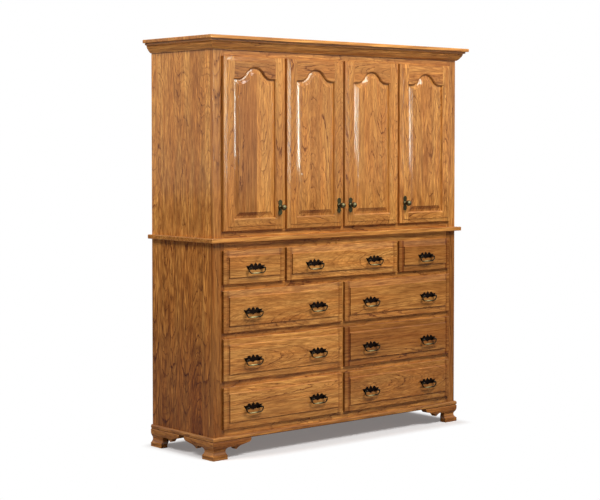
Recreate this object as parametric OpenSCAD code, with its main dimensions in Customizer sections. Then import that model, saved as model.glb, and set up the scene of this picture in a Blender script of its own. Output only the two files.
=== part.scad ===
// Mule chest: a drawer chest under a four-door cupboard, on ogee bracket feet.
// Origin: middle of the outline at floor level. The doors face -Y, and +Z is up.

/* [Case] */
// Width of the case over its end panels
case_w = 1576; // [1480:1:1680]
// Depth of the case from the face frame to the back
case_d = 476; // [430:1:540]
// Height over everything
total_h = 1930; // [1880:1:1990]
// Height of the top of the waist board
waist_z = 1012; // [996:1:1024]
// Thickness of the waist board
waist_t = 20; // [16:1:24]
// How far the waist board stands out
waist_out = 24.6; // [21:0.2:32]
// Thickness of the end panels, partitions, webs and shelves
board_t = 19; // [16:1:22]
// Thickness of the plywood backs
back_t = 6; // [4:1:9]
// Depth of the rabbet that holds a back
rabbet = 10; // [8:1:12]

/* [Face frames] */
// Thickness of the face frames
frame_t = 19; // [16:1:22]
// How far doors and fronts lap over a stile
lap_x = 12.7; // [9:0.1:15]
// How far doors lap over a rail
lap_door = 12.7; // [9:0.1:15]
// How far drawer fronts lap over a rail
lap_z = 10; // [7:0.5:12]
// From the side of the case to the first door or front
margin = 50; // [44:0.5:56]
// Width of the outer doors and of the small drawers
small_w = 362; // [348:1:376]
// Strip of frame seen beside an outer door or small drawer
strip = 14.5; // [11:0.5:20]
// Strip of frame seen between the two middle doors
door_mid = 11; // [8:0.5:16]
// Strip of frame seen between two wide drawers
drawer_mid = 16; // [11:0.5:22]

/* [Doors] */
// Height of the doors
door_h = 796.5; // [770:0.5:800]
// Thickness of the door frames
door_t = 19.5; // [18:0.5:22]
// From the waist board to the doors
door_lift = 31; // [26:0.5:38]
// Width of the door stiles
stile_w = 60; // [52:1:66]
// Height of a door's bottom rail
low_rail = 57; // [50:1:66]
// Height of a door's top rail at the shoulders of the arch
top_rail = 105; // [95:1:115]
// Rise of the arch over its shoulders
arch_rise = 54; // [40:1:58]
// Half the width of the arch
arch_half = 100; // [92:1:104]
// Radius of the crown of the arch
arch_r = 60; // [50:1:70]
// Width of the moulded inner edge of the frame
sticking = 6; // [4:0.5:8]
// Depth of the panel groove
groove = 9; // [7:0.5:11]
// Play round a panel in its groove
panel_play = 1; // [0.5:0.1:2]
// Thickness of a panel's tongue
tongue_t = 6; // [5:0.5:7]
// Width of the bevel round a panel's field
bevel_w = 24; // [20:1:28]
// Width of the routed rim of a door
door_rim = 19; // [15:1:22]
// Depth of the routed rim of a door
door_sink = 2.4; // [1.6:0.2:3.4]
// From the face of a door's frame back to the field of its panel
field_sink = 1; // [0.6:0.1:2.4]
// Height of the shoulder round a panel's field
shoulder = 1.2; // [0.8:0.1:1.6]
// Rise of the flatter outer part of the bevel
bevel_toe = 2.2; // [1.4:0.1:2.8]

/* [Drawers] */
// Height of the small and wide fronts in the top row
top_row_h = 156; // [148:1:160]
// Height of the fronts in the three lower rows
row_h = 193; // [188:1:195]
// Strip of frame seen between two rows
row_gap = 28; // [26:1:31]
// Height of the lowest front's bottom edge
row_z = 136; // [132:1:142]
// Thickness of a drawer front
front_t = 19; // [17:0.5:22]
// Thickness of a drawer front at its rim
rim_t = 12.5; // [10:0.5:14]
// Width of the sloped rim of a drawer front
rim_w = 26; // [20:1:32]
// Radius of the cove between rim and field
cove_r = 5.5; // [4:0.5:6]
// Depth of a drawer box behind its front
box_d = 430; // [380:1:436]
// Thickness of the sides of a drawer box
side_t = 12; // [10:0.5:15]
// Thickness of a drawer bottom
bottom_t = 6; // [5:0.5:8]
// Height of a drawer bottom over the lower edge of its sides
bottom_lift = 12; // [9:0.5:16]
// Depth of the groove round a drawer bottom
bottom_groove = 6; // [4:0.5:8]
// Play between a drawer and its guides, each side
side_play = 1.5; // [1:0.1:2.5]
// Play between a drawer and the web it runs on
run_play = 0.3; // [0.2:0.05:0.5]
// Play over a drawer
top_play = 6; // [4:0.5:10]
// Height of the drawer guides
guide_h = 20; // [14:1:26]
// Width of the strip over a drawer that stops it tipping
kicker_w = 50; // [36:1:64]

/* [Pulls] */
// Distance between the posts of a pull
post_pitch = 76; // [72:0.5:80]
// From the end of a front to the middle of its pull
pull_inset = 166; // [150:1:180]
// From the middle of a front down to the posts of its pull
pull_lower = 6; // [0:1:10]
// Thickness of a pull's plate
plate_t = 2; // [1.5:0.25:3]
// Half the length of a pull's plate
plate_half = 55; // [52:0.5:58]
// Radius of a post
post_r = 4.2; // [3.6:0.1:4.6]
// Radius of the eye on a post
eye_r = 5.6; // [5.2:0.1:6]
// From the face of a front to the pivot of its bail
pivot_out = 15; // [14:0.5:18]
// Radius of the pins and arms of a bail
bail_r = 2.8; // [2.4:0.1:3]
// Radius of a bail at its middle
bail_mid_r = 4; // [3.4:0.1:4.4]
// Half the width of a bail to the middle of its arms
bail_half = 48.5; // [47:0.25:50]
// Drop of a bail from its pivot
bail_drop = 24; // [22:0.5:28]
// Radius of the bend of a bail
bail_bend = 19; // [15:0.5:20]
// Play of a bail's pin in its eye
pin_play = 0.3; // [0.2:0.05:0.5]

/* [Knobs] */
// From the free edge of a door to its knob
knob_inset = 32; // [28:1:36]
// From the bottom of a door to its knob
knob_lift = 102; // [84:1:130]
// Radius of a knob's ball
knob_r = 14; // [12:0.5:15.5]
// From the face of a door to the middle of its ball
knob_out = 26.5; // [23:0.5:30]
// Height of the plate under a knob
knob_plate_h = 72; // [64:1:80]
// Width of the plate under a knob
knob_plate_w = 23; // [20:0.5:26]
// Thickness of the plate under a knob
knob_plate_t = 2.2; // [1.5:0.1:3]

/* [Hinges] */
// Radius of a hinge cup
cup_r = 17.5; // [15:0.5:18]
// Depth of a hinge cup
cup_depth = 11; // [9:0.5:12]
// From the hinge edge of a door to the rim of the cup
cup_edge = 3.5; // [3:0.5:5]
// From the ends of a door to its hinges
hinge_inset = 92; // [80:1:120]
// Length of a hinge's plate on the stile
hinge_len = 50; // [40:1:60]

/* [Crown] */
// Thickness of the crown board
crown_t = 16; // [13:1:19]
// How far the crown board stands out
crown_out = 50; // [48:0.5:58]
// Height of the crown moulding
crown_h = 45; // [43:0.5:50]
// How far the crown moulding stands out at its top
crown_reach = 37; // [35:0.5:40]
// How far the crown moulding stands out at its foot
crown_toe = 7.5; // [6:0.5:9]
// Height of the fillet over the cove
crown_fillet = 8; // [6:0.5:10]
// Radius of the cove of the crown moulding
crown_cove = 9; // [8:0.5:10]
// Radius of the swell under the cove
crown_swell = 90; // [70:1:120]

/* [Base] */
// Height of the feet
foot_h = 84; // [80:1:92]
// How far the base moulding and the feet stand out
base_out = 10.5; // [8:0.5:14]
// Height of the base moulding
base_h = 20.6; // [16:0.2:28]
// Thickness of the wood of the feet
foot_t = 36; // [32:1:40]
// Length of a foot's bracket
bracket_len = 225; // [218:1:240]
// Radius of the end of a bracket
wing_r = 20; // [16:0.5:24]
// Radius of the scallop beside a foot
scallop_r = 18; // [16:0.5:20]
// Width of a foot on the floor
foot_w = 84; // [79:1:88]
// Depth of the hollow of a foot
hollow = 11.5; // [8:0.5:14]
// Radius of the hollow of a foot
hollow_r = 20; // [18:0.5:22]
// Height of the middle of the hollow
hollow_z = 37; // [34:1:40]
// Radius of the round over the hollow
round_r = 32; // [26:0.5:34]
// Depth of the groove between the base moulding and the feet
base_groove = 3.5; // [2:0.25:4.5]
// Radius of the drop on a bracket
drop_r = 8; // [6:0.5:9]
// Side of the block glued into a foot
block = 22; // [16:1:25]

/* [Hidden] */
$fn = 48;
oak = [0.74, 0.47, 0.22];
pale = [0.84, 0.70, 0.48];
brass = [0.20, 0.16, 0.11];
steel = [0.62, 0.62, 0.60];
hair = 0.2;
// What the small lengths of the metal parts are reckoned in
unit = post_pitch / 76;
half = case_w / 2;
reach = door_t + knob_out + knob_r;
face = (reach - case_d) / 2;
rear = face + case_d;
crown_z = total_h - crown_t;
door_z = waist_z + door_lift;
waist_low = waist_z - waist_t;
inside = frame_t + hair;
bay_back = rear - back_t;

// Doors and fronts from side to side: [left edge, right edge]
edge_1 = margin - half;
edge_2 = edge_1 + small_w;
edge_3 = edge_2 + strip;
doors = [
    [edge_1, edge_2], [edge_3, -door_mid / 2], [door_mid / 2, -edge_3], [-edge_2, -edge_1]
];
hinge_left = [true, true, false, false];

// Rows of fronts from the top down: [bottom edge, top edge]
rows = [
    [row_z + 3 * (row_h + row_gap), row_z + 3 * (row_h + row_gap) + top_row_h],
    [row_z + 2 * (row_h + row_gap), row_z + 2 * (row_h + row_gap) + row_h],
    [row_z + row_h + row_gap, row_z + 2 * row_h + row_gap],
    [row_z, row_z + row_h]
];
wide = [[edge_1, -drawer_mid / 2], [drawer_mid / 2, -edge_1]];

// Drawers: [left edge, right edge, row]
drawers = [
    [edge_1, edge_2, 0], [edge_3, -edge_3, 0], [-edge_2, -edge_1, 0],
    [wide[0][0], wide[0][1], 1], [wide[1][0], wide[1][1], 1],
    [wide[0][0], wide[0][1], 2], [wide[1][0], wide[1][1], 2],
    [wide[0][0], wide[0][1], 3], [wide[1][0], wide[1][1], 3]
];

// Web under each row, by the height of its top
function web_z(row) = rows[row][0] + lap_z;
function ceiling_z(row) = row == 0 ? waist_low : web_z(row - 1) - board_t;
function drawer_low(i) = rows[drawers[i][2]][0];
function drawer_high(i) = rows[drawers[i][2]][1];
function pull_z(i) = (drawer_low(i) + drawer_high(i)) / 2 - pull_lower;
function front_w(i) = drawers[i][1] - drawers[i][0];
function pulls(i) = front_w(i) < 2 * pull_inset + 3 * plate_half
    ? [(drawers[i][0] + drawers[i][1]) / 2]
    : [drawers[i][0] + pull_inset, drawers[i][1] - pull_inset];
function knob_x(i) = hinge_left[i] ? doors[i][1] - knob_inset : doors[i][0] + knob_inset;
function cup_x(i) = hinge_left[i]
    ? doors[i][0] + cup_edge + cup_r
    : doors[i][1] - cup_edge - cup_r;

pivot_y = face - front_t - pivot_out;
panel_back = face - 4;
arch_side_r = (arch_half * arch_half + arch_rise * arch_rise) / (2 * arch_rise) - arch_r;

// A box between two corners
module board(low, high) {
    translate(low) cube(high - low);
}

// A flat shape in X and Z, from y0 back to y1
module through(y0, y1) {
    translate([0, y1, 0]) rotate([90, 0, 0]) linear_extrude(y1 - y0) children();
}

// A profile, out and up, round the front and the two sides of the case
module wrap(out) {
    intersection() {
        translate([0, face, 0]) rotate([90, 0, -90])
            linear_extrude(case_w + 2 * out, center = true) children();
        linear_extrude(total_h) polygon([
            [-half - out + hair, face - out], [half + out - hair, face - out],
            [half - hair, face], [-half + hair, face]
        ]);
    }
    for (side = [0, 1]) mirror([side, 0, 0]) intersection() {
        translate([half, rear, 0]) rotate([90, 0, 0])
            linear_extrude(case_d + out) children();
        linear_extrude(total_h) polygon([
            [half + out, face - out], [half + out, rear], [half, rear], [half, face]
        ]);
    }
}

// A board whose front edges step down in a rim: the profile from side to side
module rim_profile(w, t, rim, low, high, cove) {
    difference() {
        polygon([
            [0, 0], [w, 0], [w, low - 2], [w - 2, low], [w - rim, high],
            [w - rim, t], [rim, t], [rim, high], [2, low], [0, low - 2]
        ]);
        for (x = [rim, w - rim]) translate([x, t]) circle(cove);
    }
}

// The rim on all four edges, front towards -Y
module rimmed(x0, x1, z0, z1, t, rim, low, high, cove) {
    intersection() {
        translate([x0, face, z0]) mirror([0, 1, 0])
            linear_extrude(z1 - z0) rim_profile(x1 - x0, t, rim, low, high, cove);
        translate([x0, face, z0]) rotate([90, 0, 90]) linear_extrude(x1 - x0)
            mirror([1, 0]) rotate([0, 0, 90]) mirror([0, 1])
                rim_profile(z1 - z0, t, rim, low, high, cove);
    }
}

// Crown

// Foot, swell, quirk, cove and fillet, from the bottom up
module crown_profile() {
    low = [crown_toe, 1.5];
    cove = [crown_reach - 1.5, crown_h - crown_fillet - crown_cove];
    run = [cove[0] - crown_cove + 1.2, cove[1]] - low;
    inward = [-run[1], run[0]] / norm(run);
    centre = low + run / 2 + inward * sqrt(crown_swell * crown_swell - run * run / 4);
    square([crown_toe - 0.5, crown_h]);
    intersection() {
        translate(centre) circle(crown_swell);
        translate([0, low[1]]) square([crown_reach, cove[1] - low[1]]);
    }
    difference() {
        translate([0, cove[1]]) square([cove[0], crown_h - cove[1]]);
        translate(cove) circle(crown_cove);
    }
    translate([0, crown_h - crown_fillet - 0.8]) square([crown_reach, crown_fillet + 0.8]);
}

module slab(out, z0, z1) {
    t = z1 - z0;
    intersection() {
        translate([0, rear, 0]) rotate([90, 0, 0]) linear_extrude(case_d + out)
            translate([0, z0]) eased(2 * (half + out), t, true);
        translate([-half - out, (face - out + rear) / 2, 0]) rotate([90, 0, 90])
            linear_extrude(2 * (half + out)) translate([0, z0])
                eased(case_d + out, t, false);
    }
}

// A rectangle with softened ends: both, or only the left one
module eased(w, t, both) {
    r = 2.5;
    ends = both ? [-w / 2 + r, w / 2 - r] : [-w / 2 + r];
    for (x = ends) for (y = [r, t - r]) translate([x, y]) circle(r);
    translate([-w / 2, r]) square([both ? w : w - r, t - 2 * r]);
    translate([-w / 2 + r, 0]) square([both ? w - 2 * r : w - r, t]);
}

module crown() {
    color(oak) {
        slab(crown_out, crown_z, total_h);
        translate([0, 0, crown_z - crown_h - hair]) wrap(crown_reach) crown_profile();
    }
}

// Cases

module end_panel(z0, z1) {
    difference() {
        board([half - board_t, face + frame_t, z0], [half, rear, z1]);
        board([half - board_t - 1, bay_back, z0 - 1],
            [half - board_t + rabbet, rear + 1, z1 + 1]);
    }
}

cup_low = door_z + lap_door;
cup_high = crown_z;
column_x = (edge_2 + edge_3) / 2;
shelf_z = (cup_low + door_z + door_h) / 2;
columns = [
    [-half + board_t, column_x - board_t / 2],
    [column_x + board_t / 2, -column_x - board_t / 2],
    [-column_x + board_t / 2, half - board_t]
];

module upper_case() {
    y0 = face + inside;
    color(oak) {
        for (side = [0, 1]) mirror([side, 0, 0]) end_panel(waist_z, crown_z);
        for (z = [cup_low, cup_high]) board([-half + board_t + hair, y0, z - board_t],
            [half - board_t - hair, bay_back, z]);
        for (side = [-1, 1])
            board([side * column_x - board_t / 2, y0, cup_low + hair],
                [side * column_x + board_t / 2, bay_back, cup_high - board_t - hair]);
        for (c = columns) {
            board([c[0] + 1, y0 + 2, shelf_z], [c[1] - 1, bay_back - 2, shelf_z + board_t]);
            board([c[0] + hair, y0 + 4, shelf_z - 18 - hair],
                [c[0] + 14, bay_back - 4, shelf_z - hair]);
            board([c[1] - 14, y0 + 4, shelf_z - 18 - hair],
                [c[1] - hair, bay_back - 4, shelf_z - hair]);
        }
    }
}

// A stile or rail of a face frame
module member(x0, x1, z0, z1) {
    board([x0, face, z0], [x1, face + frame_t, z1]);
}

module upper_frame() {
    in_x = -edge_1 - lap_x;
    in_low = door_z + lap_door;
    in_high = door_z + door_h - lap_door;
    color(oak) {
        for (side = [0, 1]) mirror([side, 0, 0]) {
            member(in_x, half, waist_z, crown_z);
            member(-edge_3 - lap_x, -edge_2 + lap_x, in_low + hair, in_high - hair);
        }
        member(-door_mid / 2 - lap_x, door_mid / 2 + lap_x, in_low + hair, in_high - hair);
        member(-in_x + hair, in_x - hair, in_high, crown_z);
        member(-in_x + hair, in_x - hair, waist_z, in_low);
    }
}

module waist_top() {
    color(oak) slab(waist_out, waist_low, waist_z);
}

module guide(x0, x1, row) {
    board([x0, face + inside, web_z(row) + hair],
        [x1, bay_back - hair, web_z(row) + guide_h]);
}

module lower_case() {
    y0 = face + inside;
    color(oak) {
        for (side = [0, 1]) mirror([side, 0, 0]) end_panel(foot_h, waist_low);
        for (row = [0:3]) {
            z0 = web_z(row);
            z1 = ceiling_z(row);
            board([-half + board_t + hair, y0, z0 - board_t],
                [half - board_t - hair, bay_back, z0]);
            if (row == 0) for (side = [-1, 1])
                board([side * column_x - board_t / 2, y0, z0 + hair],
                    [side * column_x + board_t / 2, bay_back, z1 - hair]);
            else board([-board_t / 2, y0, z0 + hair], [board_t / 2, bay_back, z1 - hair]);
            for (side = [0, 1]) mirror([side, 0, 0]) {
                guide(-edge_1 - lap_x, half - board_t - hair, row);
                if (row == 0) {
                    guide(-column_x + board_t / 2 + hair, -edge_2 + lap_x, row);
                    guide(-edge_3 - lap_x, -column_x - board_t / 2 - hair, row);
                }
                else guide(board_t / 2 + hair, drawer_mid / 2 + lap_x, row);
            }
        }
        for (i = [0:8]) {
            mid = (drawers[i][0] + drawers[i][1]) / 2;
            board([mid - kicker_w / 2, y0, drawer_high(i) - lap_z],
                [mid + kicker_w / 2, bay_back - hair, ceiling_z(drawers[i][2]) - hair]);
        }
    }
}

module lower_frame() {
    in_x = -edge_1 - lap_x;
    low = web_z(3);
    high = rows[0][1] - lap_z;
    color(oak) {
        for (side = [0, 1]) mirror([side, 0, 0]) {
            member(in_x, half, foot_h, waist_low);
            member(-edge_3 - lap_x, -edge_2 + lap_x, web_z(0) + hair, high - hair);
        }
        member(-in_x + hair, in_x - hair, high, waist_low);
        member(-in_x + hair, in_x - hair, rows[1][1] - lap_z, web_z(0));
        for (row = [1, 2, 3])
            member(-drawer_mid / 2 - lap_x, drawer_mid / 2 + lap_x,
                web_z(row) + hair, rows[row][1] - lap_z - hair);
        for (row = [2, 3]) member(-in_x + hair, in_x - hair, rows[row][1] - lap_z, web_z(row - 1));
        member(-in_x + hair, in_x - hair, foot_h, low);
    }
}

module back_panels() {
    x = half - board_t + rabbet - hair;
    color(pale) {
        board([-x, bay_back, foot_h], [x, rear, waist_low]);
        board([-x, bay_back, waist_z], [x, rear, crown_z]);
    }
}

// Base

module base_profile() {
    r = base_out - 2;
    g = base_groove;
    square([base_out - g, base_h]);
    translate([0, g]) square([base_out, base_h - r - g]);
    intersection() {
        translate([base_out - r, base_h - r]) circle(r);
        square([base_out, base_h]);
    }
}

// Upright section of a foot: depth in from its face, and height
module foot_section() {
    // The hollow and the round run into one another
    apart = round_r + hollow_r - 0.01;
    top_z = hollow_z + sqrt(apart * apart - pow(hollow_r - hollow + round_r, 2));
    centre = [hollow - hollow_r, hollow_z];
    over = [round_r, top_z];
    g = base_groove;
    difference() {
        square([foot_t, foot_h]);
        difference() {
            translate([-1, foot_h - g]) square(g + 1);
            translate([g, foot_h - g]) circle(g);
        }
        translate(centre) circle(hollow_r);
        difference() {
            polygon([centre, over, [-20, top_z], [-20, hollow_z]]);
            translate(over) circle(round_r);
        }
    }
}

// Sawn outline of a bracket: along from the corner, and height
module bracket_outline() {
    scoop = [foot_w - 4 + scallop_r, foot_h * 0.43];
    top_z = scoop[1] + scallop_r;
    under = foot_h - wing_r;
    drop = [bracket_len * 0.63, drop_z + drop_r];
    lean = drop_r * 0.7;
    run = top_z - drop_z - drop_r + lean;
    difference() {
        union() {
            square([bracket_len - wing_r, foot_h]);
            intersection() {
                translate([bracket_len - wing_r, foot_h]) circle(wing_r);
                square([bracket_len, foot_h]);
            }
        }
        translate(scoop) circle(scallop_r);
        difference() {
            polygon([
                [foot_w, -1], [foot_w, foot_h * 0.18], [scoop[0] - scallop_r + 0.3, scoop[1]],
                scoop, [scoop[0], top_z], [drop[0] - lean - run, top_z],
                [drop[0] - lean, drop[1] - lean], [drop[0] + lean, drop[1] - lean],
                [drop[0] + lean + run, top_z], [bracket_len - wing_r, under],
                [bracket_len + 1, under], [bracket_len + 1, -1]
            ]);
            translate(drop) circle(drop_r);
        }
    }
}

drop_z = foot_h * 0.455;

// One bracket along X with its face at y = 0 and its corner at x = 0
module bracket(mitre) {
    intersection() {
        rotate([90, 0, 90]) linear_extrude(bracket_len) foot_section();
        through(0, foot_t) bracket_outline();
        linear_extrude(foot_h) polygon(mitre
            ? [[hair, 0], [bracket_len, 0], [bracket_len, foot_t], [foot_t + hair, foot_t]]
            : [[0, 0], [bracket_len, 0], [bracket_len, foot_t], [0, foot_t]]);
    }
}

module base() {
    color(oak) {
        translate([0, 0, foot_h + hair]) wrap(base_out) base_profile();
        for (side = [0, 1]) mirror([side, 0, 0]) {
            translate([-half - base_out, face - base_out, 0]) {
                bracket(true);
                mirror([1, -1, 0]) bracket(true);
                board([foot_t + hair, foot_t + hair, 4],
                    [foot_t + block, foot_t + block, foot_h]);
            }
            translate([-half - base_out, rear, 0]) {
                rotate([0, 0, -90]) bracket(false);
                board([foot_t + hair, -back_foot_t - block, 4],
                    [foot_t + block, -back_foot_t - hair, foot_h]);
                back_bracket();
            }
        }
    }
}

back_foot_t = 20;

// Plain bracket at the back of a rear foot
module back_bracket() {
    through(-back_foot_t, 0) polygon([
        [foot_t + hair, 0], [foot_w, 0], [foot_w + scallop_r, drop_z],
        [bracket_len * 0.73, foot_h - wing_r], [bracket_len * 0.73, foot_h],
        [foot_t + hair, foot_h]
    ]);
}

// Doors

// Cross-section of a panel opening grown by g, made to run from y0 (g0) to y1 (g1)
module arched(door, y0, g0, y1, g1) {
    x0 = doors[door][0] + stile_w;
    x1 = doors[door][1] - stile_w;
    mid = (x0 + x1) / 2;
    z0 = door_z + low_rail;
    z1 = door_z + door_h - top_rail;
    crown_c = [mid, z1 + arch_rise - arch_r];
    plan = [[x0 - g0, y0], [x1 + g0, y0], [x1 + g1, y1], [x0 - g1, y1]];
    intersection() {
        linear_extrude(total_h) polygon(plan);
        translate([x0 - stile_w / 2, 0, 0]) rotate([90, 0, 90]) linear_extrude(x1 - x0 + stile_w) polygon([
            [y0, z0 - g0], [y0, z1 + g0], [y1, z1 + g1], [y1, z0 - g1]
        ]);
    }
    translate([crown_c[0], y0, crown_c[1]]) rotate([-90, 0, 0])
        cylinder(h = y1 - y0, r1 = arch_r + g0, r2 = arch_r + g1);
    for (side = [-1, 1]) difference() {
        intersection() {
            linear_extrude(total_h) polygon(plan);
            through(y0, y1) polygon([
                crown_c, [mid + side * arch_half, z1 + arch_side_r],
                [mid + side * arch_half, z1 - arch_half], [mid, z1 - arch_half]
            ]);
        }
        translate([mid + side * arch_half, y0, z1 + arch_side_r]) rotate([-90, 0, 0])
            cylinder(h = y1 - y0, r1 = arch_side_r - g0, r2 = arch_side_r - g1);
    }
}

module door_slab(i) {
    difference() {
        rimmed(doors[i][0], doors[i][1], door_z, door_z + door_h,
            door_t, door_rim, door_t - 4.5, door_t - door_sink, 2);
        arched(i, face - door_t + 5, 0, face + 1, 0);
        arched(i, face - door_t - 1, sticking * 6 / 5, face - door_t + 5 + 0.01, 0);
        arched(i, panel_back - tongue_t - 0.25, groove, panel_back + 0.25, groove);
        for (z = [door_z + hinge_inset, door_z + door_h - hinge_inset])
            translate([cup_x(i), face - cup_depth - hair, z]) rotate([-90, 0, 0])
                cylinder(h = cup_depth + 1, r = cup_r + 0.1);
    }
}

// Depths of the raised panel: its field, and the steep and the flat part of its bevel
field_y = face - door_t + field_sink;
heel_y = field_y + shoulder;
toe_y = panel_back - tongue_t - bevel_toe;

module door(i) {
    x0 = doors[i][0];
    x1 = doors[i][1];
    z0 = door_z;
    z1 = door_z + door_h;
    y0 = face - door_t - 1;
    color(oak) {
        intersection() {
            door_slab(i);
            union() {
                board([x0 - 1, y0, z0 - 1], [x0 + stile_w - hair, face + 1, z1 + 1]);
                board([x1 - stile_w + hair, y0, z0 - 1], [x1 + 1, face + 1, z1 + 1]);
                board([x0 + stile_w, y0, z0 - 1], [x1 - stile_w, face + 1, z0 + low_rail + 1]);
                board([x0 + stile_w, y0, z1 - top_rail - 1], [x1 - stile_w, face + 1, z1 + 1]);
            }
        }
        arched(i, panel_back - tongue_t, groove - panel_play, panel_back, groove - panel_play);
        arched(i, field_y, -2 - bevel_w, heel_y, -2 - bevel_w);
        arched(i, heel_y, -2 - bevel_w, toe_y, -2 - bevel_w * 0.42);
        arched(i, toe_y, -2 - bevel_w * 0.42, panel_back - tongue_t, -2);
    }
}

module knob_profile() {
    polygon([
        [0, 0], [9, 0], [9, 3.4], [6.5, 5], [5, 7.5], [5, 15], [6.5, knob_out - knob_r * 0.78],
        [0, knob_out]
    ]);
    intersection() {
        translate([0, knob_out]) circle(knob_r);
        translate([0, knob_out - knob_r]) square([knob_r, 2 * knob_r]);
    }
}

// A waisted plate with a round lobe at each end
module knob_plate() {
    r = knob_plate_w / 2;
    end = knob_plate_h / 2 - r;
    difference() {
        union() {
            for (side = [-1, 1]) translate([0, side * end]) circle(r);
            square([2 * r, 2 * end], center = true);
        }
        for (x = [-1, 1]) for (z = [-1, 1])
            translate([x * (r + 7), z * end / 2]) circle(9);
    }
}

module door_metal(i) {
    x = knob_x(i);
    z = door_z + knob_lift;
    color(brass) {
        through(face - door_t - knob_plate_t, face - door_t)
            translate([x, z]) knob_plate();
        translate([x, face - door_t, z]) rotate([90, 0, 0]) rotate_extrude() knob_profile();
        for (zc = [door_z + hinge_inset, door_z + door_h - hinge_inset])
            translate([cup_x(i), face - cup_depth, zc]) rotate([-90, 0, 0]) difference() {
                cylinder(h = cup_depth - hair, r = cup_r);
                translate([0, 0, 1.5]) cylinder(h = cup_depth, r = cup_r - 1.5);
            }
    }
}

module hinge_plates() {
    color(steel) for (i = [0:3]) for (end = [0, 1]) {
        s = hinge_left[i] ? 1 : -1;
        x = (hinge_left[i] ? doors[i][0] : doors[i][1]) + s * lap_x;
        zc = end == 0 ? door_z + hinge_inset : door_z + door_h - hinge_inset;
        translate([x, 0, zc]) mirror([s < 0 ? 1 : 0, 0, 0]) {
            board([0, face + 2 * unit, -hinge_len / 2],
                [2 * unit, face + frame_t - unit, hinge_len / 2]);
            board([unit, face + unit, -9 * unit], [12 * unit, face + frame_t - 3 * unit, 9 * unit]);
        }
    }
}

// Drawers

module drawer_front(i) {
    color(oak) rimmed(drawers[i][0], drawers[i][1], drawer_low(i), drawer_high(i),
        front_t, rim_w, rim_t, front_t - cove_r + 0.3, cove_r);
}

module drawer_box(i) {
    x0 = drawers[i][0] + lap_x + side_play;
    x1 = drawers[i][1] - lap_x - side_play;
    z0 = drawer_low(i) + lap_z + run_play;
    z1 = drawer_high(i) - lap_z - top_play;
    y1 = face + box_d;
    b0 = z0 + bottom_lift;
    b1 = b0 + bottom_t;
    g = bottom_groove;
    color(pale) {
        difference() {
            union() {
                board([x0, face, z0], [x0 + side_t, y1, z1]);
                board([x1 - side_t, face, z0], [x1, y1, z1]);
                board([x0 + side_t + hair, face, z0], [x1 - side_t - hair, face + side_t, z1]);
                board([x0 + side_t + hair, y1 - side_t, z0], [x1 - side_t - hair, y1, z1]);
            }
            board([x0 + side_t - g, face + side_t - g, b0 - hair],
                [x1 - side_t + g, y1 - side_t + g, b1 + hair]);
        }
        board([x0 + side_t - g + hair, face + side_t - g + hair, b0],
            [x1 - side_t + g - hair, y1 - side_t + g - hair, b1]);
    }
}

// Backplate of a pull: a winged plate with three lobes along its top
module plate_outline() {
    p = post_pitch / 2;
    u = unit;
    difference() {
        union() {
            translate([-p, -8 * u]) square([2 * p, 18 * u]);
            for (side = [-1, 1]) {
                translate([side * 24 * u, 9 * u]) circle(10 * u);
                translate([side * p, u]) circle(9.5 * u);
                polygon([
                    [side * (p - 4 * u), 10 * u], [side * (p + 8 * u), 9 * u],
                    [side * plate_half, 11 * u], [side * (p + 9 * u), -2 * u],
                    [side * (p - 4 * u), -8.5 * u]
                ]);
            }
            translate([0, 10 * u]) circle(9.5 * u);
            polygon([[-8 * u, 13 * u], [0, 24 * u], [8 * u, 13 * u]]);
            translate([0, -6 * u]) circle(6 * u);
        }
        for (side = [-1, 1]) translate([side * 18 * u, -14 * u]) circle(8 * u);
    }
}

module pull_plates(i) {
    y = face - front_t;
    color(brass) for (x = pulls(i)) {
        through(y - plate_t, y) translate([x, pull_z(i)]) plate_outline();
        for (side = [-1, 1]) translate([x + side * post_pitch / 2, 0, pull_z(i)])
            difference() {
                union() {
                    translate([0, y, 0]) rotate([90, 0, 0])
                        cylinder(h = 4 * unit, r = 6.5 * unit);
                    translate([0, y, 0]) rotate([90, 0, 0]) cylinder(h = pivot_out, r = post_r);
                    translate([0, pivot_y, 0]) rotate([0, 0, -90]) sphere(eye_r);
                }
                translate([-10 * unit, pivot_y, 0]) rotate([0, 90, 0])
                    cylinder(h = 20 * unit, r = pin_r + pin_play);
            }
    }
}

pin_r = 2 * unit;

// Hanging bail: pins, arms, bends and a swelling middle
module bail(i, n) {
    flat = bail_half - bail_bend;
    swell = flat * 0.4;
    color(brass) translate([pulls(i)[n], pivot_y, pull_z(i)]) {
        for (side = [0, 1]) mirror([side, 0, 0]) {
            translate([post_pitch / 2 - 3 * unit, 0, 0]) rotate([0, 90, 0])
                cylinder(h = bail_half - post_pitch / 2 + 3 * unit, r = pin_r);
            translate([bail_half, 0, 0]) sphere(bail_r);
            translate([bail_half, 0, bail_bend - bail_drop])
                cylinder(h = bail_drop - bail_bend, r = bail_r);
            translate([flat, 0, bail_bend - bail_drop]) rotate([90, 0, 0])
                rotate_extrude(angle = -90) translate([bail_bend, 0]) circle(bail_r);
            translate([swell, 0, -bail_drop]) rotate([0, 90, 0])
                cylinder(h = flat - swell, r1 = bail_mid_r, r2 = bail_r);
        }
        translate([-swell, 0, -bail_drop]) rotate([0, 90, 0])
            cylinder(h = 2 * swell, r = bail_mid_r);
    }
}

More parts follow.
